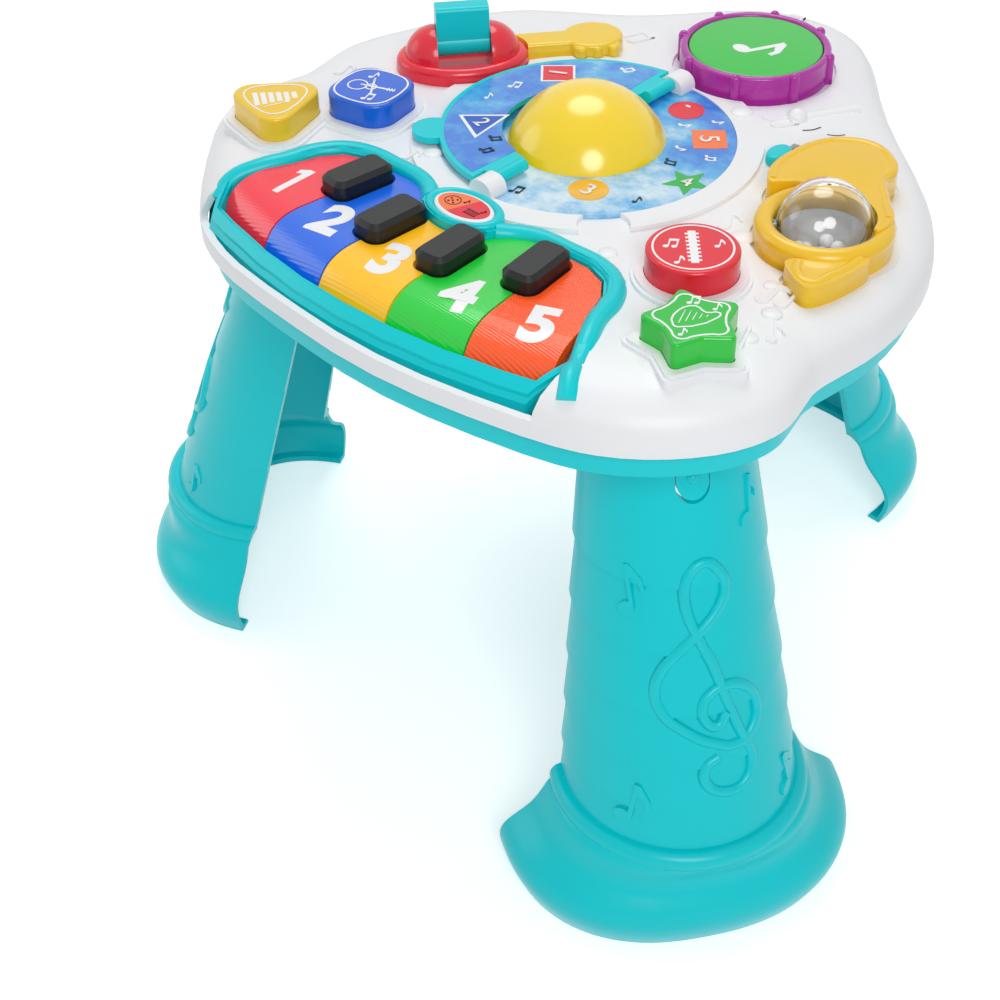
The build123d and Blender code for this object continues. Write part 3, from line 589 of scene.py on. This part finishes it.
settle(plate(round_plan(x - 2, y + 4, 1.6, 0.9, 12), disc_z + 0.2, 0.1), "red_spot_shine", "table",
       print_white, 0)
white_notes = [note(29.9, 43.5, disc_z, 6.5, -40), note(40.6, 57.5, disc_z, 6, -40),
               note(43.6, 22.9, disc_z, 6, -70), note(60.5, 26, disc_z, 5.5, -60, True)]
settle(join(white_notes), "disc_notes_white", "table", print_white, 0)
black_notes = [note(48, 9.9, disc_z, 6, -70, True), note(9, -63, disc_z, 6.5, 10, True),
               note(60, -30, disc_z, 6, 20)]
settle(join(black_notes), "disc_notes_black", "table", dark_print, 0)
page_notes = [note(-27, -40, page_print_z, 6, -40, True), note(-22, -52, page_print_z, 6, -20, True)]
settle(join(page_notes), "page_notes_black", "flip_page", dark_print, 0)
page_notes = [note(-59, 8, page_print_z, 6.5, 20, True), note(-60, -10, page_print_z, 6, 30),
              note(-26, 62, page_print_z, 6.5, -30, True)]
settle(join(page_notes), "page_notes_white", "flip_page", print_white, 0)


def milky(name, colour):
    # diffusing tinted plastic with a soft gloss and a painted glow that lifts its colour evenly
    material, tree = empty_material(name)
    shade = add(tree, "ShaderNodeBsdfPrincipled", Base_Color=paint(colour), Roughness=0.2, IOR=1.5)
    shade.inputs["Coat Weight"].default_value = 0.5
    shade.inputs["Coat Roughness"].default_value = 0.12
    shade.inputs["Subsurface Weight"].default_value = 0.25
    shade.inputs["Subsurface Radius"].default_value = (0.02, 0.012, 0.004)
    shade.inputs["Subsurface Scale"].default_value = 0.3
    # painted glow: the emission stands in for light coming through the dome
    shade.inputs["Emission Color"].default_value = paint(colour)
    shade.inputs["Emission Strength"].default_value = 0.12
    add(tree, "ShaderNodeOutputMaterial", {"Surface": shade.outputs[0]})
    return material


finish("dome_lens", milky("dome_milky_yellow", "f4cf10"), 50)


# --------------------------------------------------------------- button prints
# Each push button carries a white line inside its edge and a plain picture of an instrument
# with small notes, pad printed on the flat top.
button_z = 336.0
edge_wide = 1.1


def rounded(points, share=0.25):
    # a loop of points with each corner cut off twice, so that the line rounds it
    for _ in range(2):
        out = []
        for n, (x, y) in enumerate(points):
            px, py = points[n - 1]
            qx, qy = points[(n + 1) % len(points)]
            out.append((x + (px - x) * share, y + (py - y) * share))
            out.append((x + (qx - x) * share, y + (qy - y) * share))
        points = out
    return points


def print_on(parts, name, body):
    # white marks joined as one print on a button
    settle(join(parts), name, body, print_white, 0)


x, y = 120.5, -63.0
marks = [stroke(round_plan(x, y, 18.6, 18.6, 32), edge_wide, button_z, closed=True),
         plate(turned_box(x, y, 3.6, 27, 43), button_z, 0.36)]
for n in range(8):
    t = (n - 3.5) * 3.2
    marks.append(plate(turned_box(x - t * 0.682, y + t * 0.731, 6.4, 1.2, 43), button_z))
marks += [note(x - 10, y - 5, button_z, 7, 30, True), note(x + 2.5, y - 12.5, button_z, 6.5, 30),
          note(x + 7.5, y + 10.5, button_z, 6.5, 30)]
print_on(marks, "red_button_print", "red_button")

x, y = 156.0, -106.5
marks = [stroke(rounded(star_plan(x, y, 21.0, 12.6, 72), 0.3), edge_wide, button_z, closed=True)]
harp = [(-7, -9), (-8.5, 3), (-3, 8.5), (3, 5.5), (8.5, 7.5), (9, 4), (-4.5, -9.5)]
turned = math.radians(20)
marks.append(stroke([swing(px, py, x + 1, y, turned) for px, py in harp], 1.0, button_z, closed=True))
for n in range(5):
    a = swing(-5.5 + n * 2.4, -6.5 + n * 2.2, x + 1, y, turned)
    b = swing(-6.0 + n * 2.6, 4.4 - n * 0.1, x + 1, y, turned)
    marks.append(stroke([a, b], 0.5, button_z))
marks += [note(x - 8.5, y + 9.5, button_z, 6, 30, True), note(x + 3, y + 13, button_z, 5.5, 30),
          note(x + 4, y - 12, button_z, 5.5, 30)]
print_on(marks, "star_button_print", "star_button")

x, y = -102.5, -55.0
box_line = turned_box(x, y, 34.5, 34.5, 11)
fiddle = math.radians(20)
marks = [stroke(rounded(box_line, 0.22), edge_wide, button_z, closed=True),
         stroke(round_plan(x - 6.5, y - 3.5, 5.2, 5.2, 16), 0.9, button_z, closed=True),
         stroke(round_plan(x + 0.5, y - 0.5, 2.8, 2.8, 12), 0.9, button_z, closed=True),
         stroke([swing(-6, 0, x, y, fiddle), swing(14, 0, x, y, fiddle)], 1.5, button_z),
         stroke([swing(-2, 9, x, y, fiddle), swing(4, -9, x, y, fiddle)], 1.2, button_z)]
for k in range(3):
    ends = [swing(10 + k * 1.6, half, x, y, fiddle) for half in (-1.8, 1.8)]
    marks.append(stroke(ends, 0.6, button_z))
marks += [note(x - 7, y + 9.5, button_z, 6.5, 10), note(x + 7, y - 9.5, button_z, 6.5, 20, True)]
print_on(marks, "blue_button_print", "blue_button")

x, y = -130.5, -97.0
loop = []
for n in range(3):
    t = math.radians(78 + 120 * n)
    loop.append((x + 27 * math.cos(t), y + 27 * math.sin(t)))
marks = [stroke(rounded(loop, 0.24), edge_wide, button_z, closed=True)]
for n in range(6):
    cx, cy = swing(-10 + n * 4.0, 0, x, y, math.radians(56))
    marks.append(plate(turned_box(cx, cy, 2.7, 14 - n * 1.5, 56), button_z))
marks += [stroke([(x + 3.5, y - 11), (x + 8, y + 1)], 0.8, button_z),
          plate(round_plan(x + 8, y + 1.5, 1.4, 1.4, 12), button_z)]
print_on(marks, "yellow_button_print", "yellow_button")


# --------------------------------------------------------------- drum print
# The green head is printed with one large white quaver, laid flat on its skin. The rim's lugs
# are part of its solid.
head_z = skin_height("drum_head", 14, 122.5, 333)
settle(note(19.5, 122, head_z, 27, -26), "drum_head_note", "drum_head", print_white, 0)


# --------------------------------------------------------------- horn and its rattle ball
# The yellow horn's bell and its mouthpiece have full rounded edges, a fine seam shows where
# the clear ball's two halves are welded, and a white cup lines the ball's seat.
bell = [(106, 12), (99, 24), (97.5, 42), (101, 60), (111, 72.5), (125, 77), (139, 71), (147.5, 61),
        (149, 51), (160, 35), (172, 20)]
horn_yellow = bpy.data.materials["horn_body_abs"]
bell_middle = (128, 42)
ball_x, ball_y, ball_z = 146.4, 3.4, 328.5


def drawn_in(points, amount):
    # points moved in towards the bell's middle, in mm
    out = []
    for x, y in points:
        dx, dy = bell_middle[0] - x, bell_middle[1] - y
        far = math.hypot(dx, dy)
        out.append((x + dx / far * amount, y + dy / far * amount))
    return out


settle(bead([at(x, y, 331.6) for x, y in drawn_in(bell, 3.0)], 3.2), "bell_lip", "table",
       horn_yellow, 60)
mouth = [(157, -31), (161, -38.5), (172, -41), (174.5, -31), (176.5, -20), (176, -10)]
settle(bead([at(x, y, 327.0) for x, y in mouth], 3.6), "mouthpiece_lip", "table",
       horn_yellow, 60)
deselect()
bpy.ops.mesh.primitive_torus_add(major_radius=0.0226, minor_radius=0.00035, major_segments=72,
                                 minor_segments=6, location=at(ball_x, ball_y, ball_z))
seam = bpy.context.object
seam.rotation_euler = (math.radians(90), 0, math.radians(40))
settle(seam, "ball_seam", "rattle_ball", clear("seam_clear", "f2f6f8", 0.2, 0.5), 60)

# the cup is the lower part of a sphere
deselect()
bpy.ops.mesh.primitive_uv_sphere_add(segments=48, ring_count=24, radius=0.0237,
                                     location=at(ball_x, ball_y, ball_z))
cup = bpy.context.object
bpy.ops.object.mode_set(mode="EDIT")
bpy.ops.mesh.select_all(action="SELECT")
bpy.ops.mesh.bisect(plane_co=at(0, 0, 324.0), plane_no=(0, 0, 1), clear_outer=True)
bpy.ops.object.mode_set(mode="OBJECT")
wall = cup.modifiers.new("wall", "SOLIDIFY")
wall.thickness = 0.0004
apply_all(cup)
settle(cup, "ball_cup", "table", white_abs, 60)


# --------------------------------------------------------------- volume marks
# Two curved lines and a blue label with plain marks are printed beside the volume knob, on the
# white top and clear of the knob at both ends of its slide.
label_z, label_mark_z, line_z = 320.05, 320.25, 320.1
settle(plate(rounded(turned_box(94.5, 72, 8.5, 14, 8)), label_z, 0.15), "volume_label", "table",
       blue_print, 0)
settle(join([note(94, 75.5, label_mark_z, 4), note(95.4, 68.8, label_mark_z, 4)]), "volume_label_marks",
       "table", print_white, 0)
curved = [stroke([(76, 83), (79.5, 87), (81, 92)], 0.8, line_z),
          stroke([(88, 88), (92, 90), (95, 94)], 0.6, line_z)]
settle(join(curved), "volume_lines", "table", dark_print, 0)


# --------------------------------------------------------------- relief on the white top
# Notes and rounded bubbles stand 1 to 2 mm proud of the white top and are moulded with it. A
# note whose place has no deck under it is left out.
deck_low = 315
relief = []
deck_notes = [(104, -12, 16, 30, False), (158, -50, 16, 10, True), (176, -72, 13, 40, False),
              (60, 84, 14, -30, True), (-52, -74, 13, 10, False), (-60, 108, 15, -20, True),
              (-130, 60, 15, 10, False), (80, -84, 12, 20, False), (-10, 184, 14, 0, True),
              (-150, -30, 14, 20, False)]
for x, y, size, turned, pair in deck_notes:
    height = skin_height("top_panel", x, y, 0)
    if height > deck_low:
        relief.append(note(x, y, height - 0.3, size, turned, pair, 1.3))
settle(join(relief), "deck_notes", "table", white_abs, 30)
drops = []
for x, y, r in ((117, -20, 6), (43, 74, 6), (166, -62, 5), (152, -44, 4), (79, -74, 5), (-46, -66, 5),
                (170, -84, 4.5), (-70, 96, 6), (98, -88, 4)):
    deselect()
    bpy.ops.mesh.primitive_uv_sphere_add(segments=24, ring_count=12, radius=r / 1000,
                                         location=at(x, y, skin_height("top_panel", x, y, 320)))
    drop = bpy.context.object
    drop.scale.z = 0.3
    drops.append(drop)
settle(join(drops), "deck_bubbles", "table", white_abs, 60)


# --------------------------------------------------------------- relief on the legs
# A large clef winds down the outside of each leg with notes at both sides, all moulded in
# the leg's wall and standing about 2 mm proud of it.
cone_top = (141.0, 38.0, 276.0)     # the cone's middle from the table axis, its radius, its height
cone_low = (199.0, 61.0, 56.0)


def on_leg(turned, angle, z, proud):
    # a point on the leg's cone, by its angle from straight outwards and its height
    k = (z - cone_low[2]) / (cone_top[2] - cone_low[2])
    u = cone_low[0] + (cone_top[0] - cone_low[0]) * k
    r = cone_low[1] + (cone_top[1] - cone_low[1]) * k + proud
    a = math.radians(angle)
    x, y = swing(u + r * math.cos(a), r * math.sin(a), 0, 0, math.radians(turned))
    return at(x, y, z)


clef = [(11, 130), (5, 124), (-1, 128), (-2, 136), (4, 142), (12, 143.5), (22, 140), (30, 129), (27, 117),
        (16, 112), (2, 116), (-11, 123), (-23, 132), (-27, 143), (-23, 154), (-13, 164), (0, 174), (11, 183),
        (16, 192), (12, 201), (4, 206), (-4, 203), (-9, 194), (-8, 183), (-2, 169), (5, 155), (11, 137),
        (18, 118), (24, 100), (19, 91), (8, 89), (-2, 95), (-2, 104), (5, 108)]


leg_radius = 52     # mm, about half way down the leg


def wrapped(piece, turned, angle, z):
    # a flat relief note bent round the leg: its own x runs round the leg and its y up it
    take(piece)
    bpy.ops.object.mode_set(mode="EDIT")
    bpy.ops.mesh.select_all(action="SELECT")
    bpy.ops.mesh.quads_convert_to_tris()
    bpy.ops.mesh.subdivide(number_cuts=2)
    bpy.ops.object.mode_set(mode="OBJECT")
    zero = at(0, 0, 0)
    for v in piece.data.vertices:
        px, py, pz = (v.co - zero) * 1000
        v.co = on_leg(turned, angle + math.degrees(px / leg_radius), z + py, pz)
    tidy(piece)
    return piece


for name, turned in (("left", 207), ("right", -33), ("rear", 87)):
    line = [on_leg(turned, a, z, 0.6) for a, z in clef]
    ribbon = bead(line, 3.0, steps=5)
    parts = [ribbon, wrapped(note(0, 0, 0.4, 22, -12, False, 2.0), turned, -38, 82),
             wrapped(note(0, 0, 0.4, 24, 10, False, 2.0), turned, -40, 192),
             wrapped(note(0, 0, 0.4, 20, 10, False, 2.0), turned, 50, 78),
             wrapped(note(0, 0, 0.4, 22, -10, False, 2.0), turned, 42, 226)]
    settle(join(parts), f"leg_relief_{name}", "table", teal, 50)
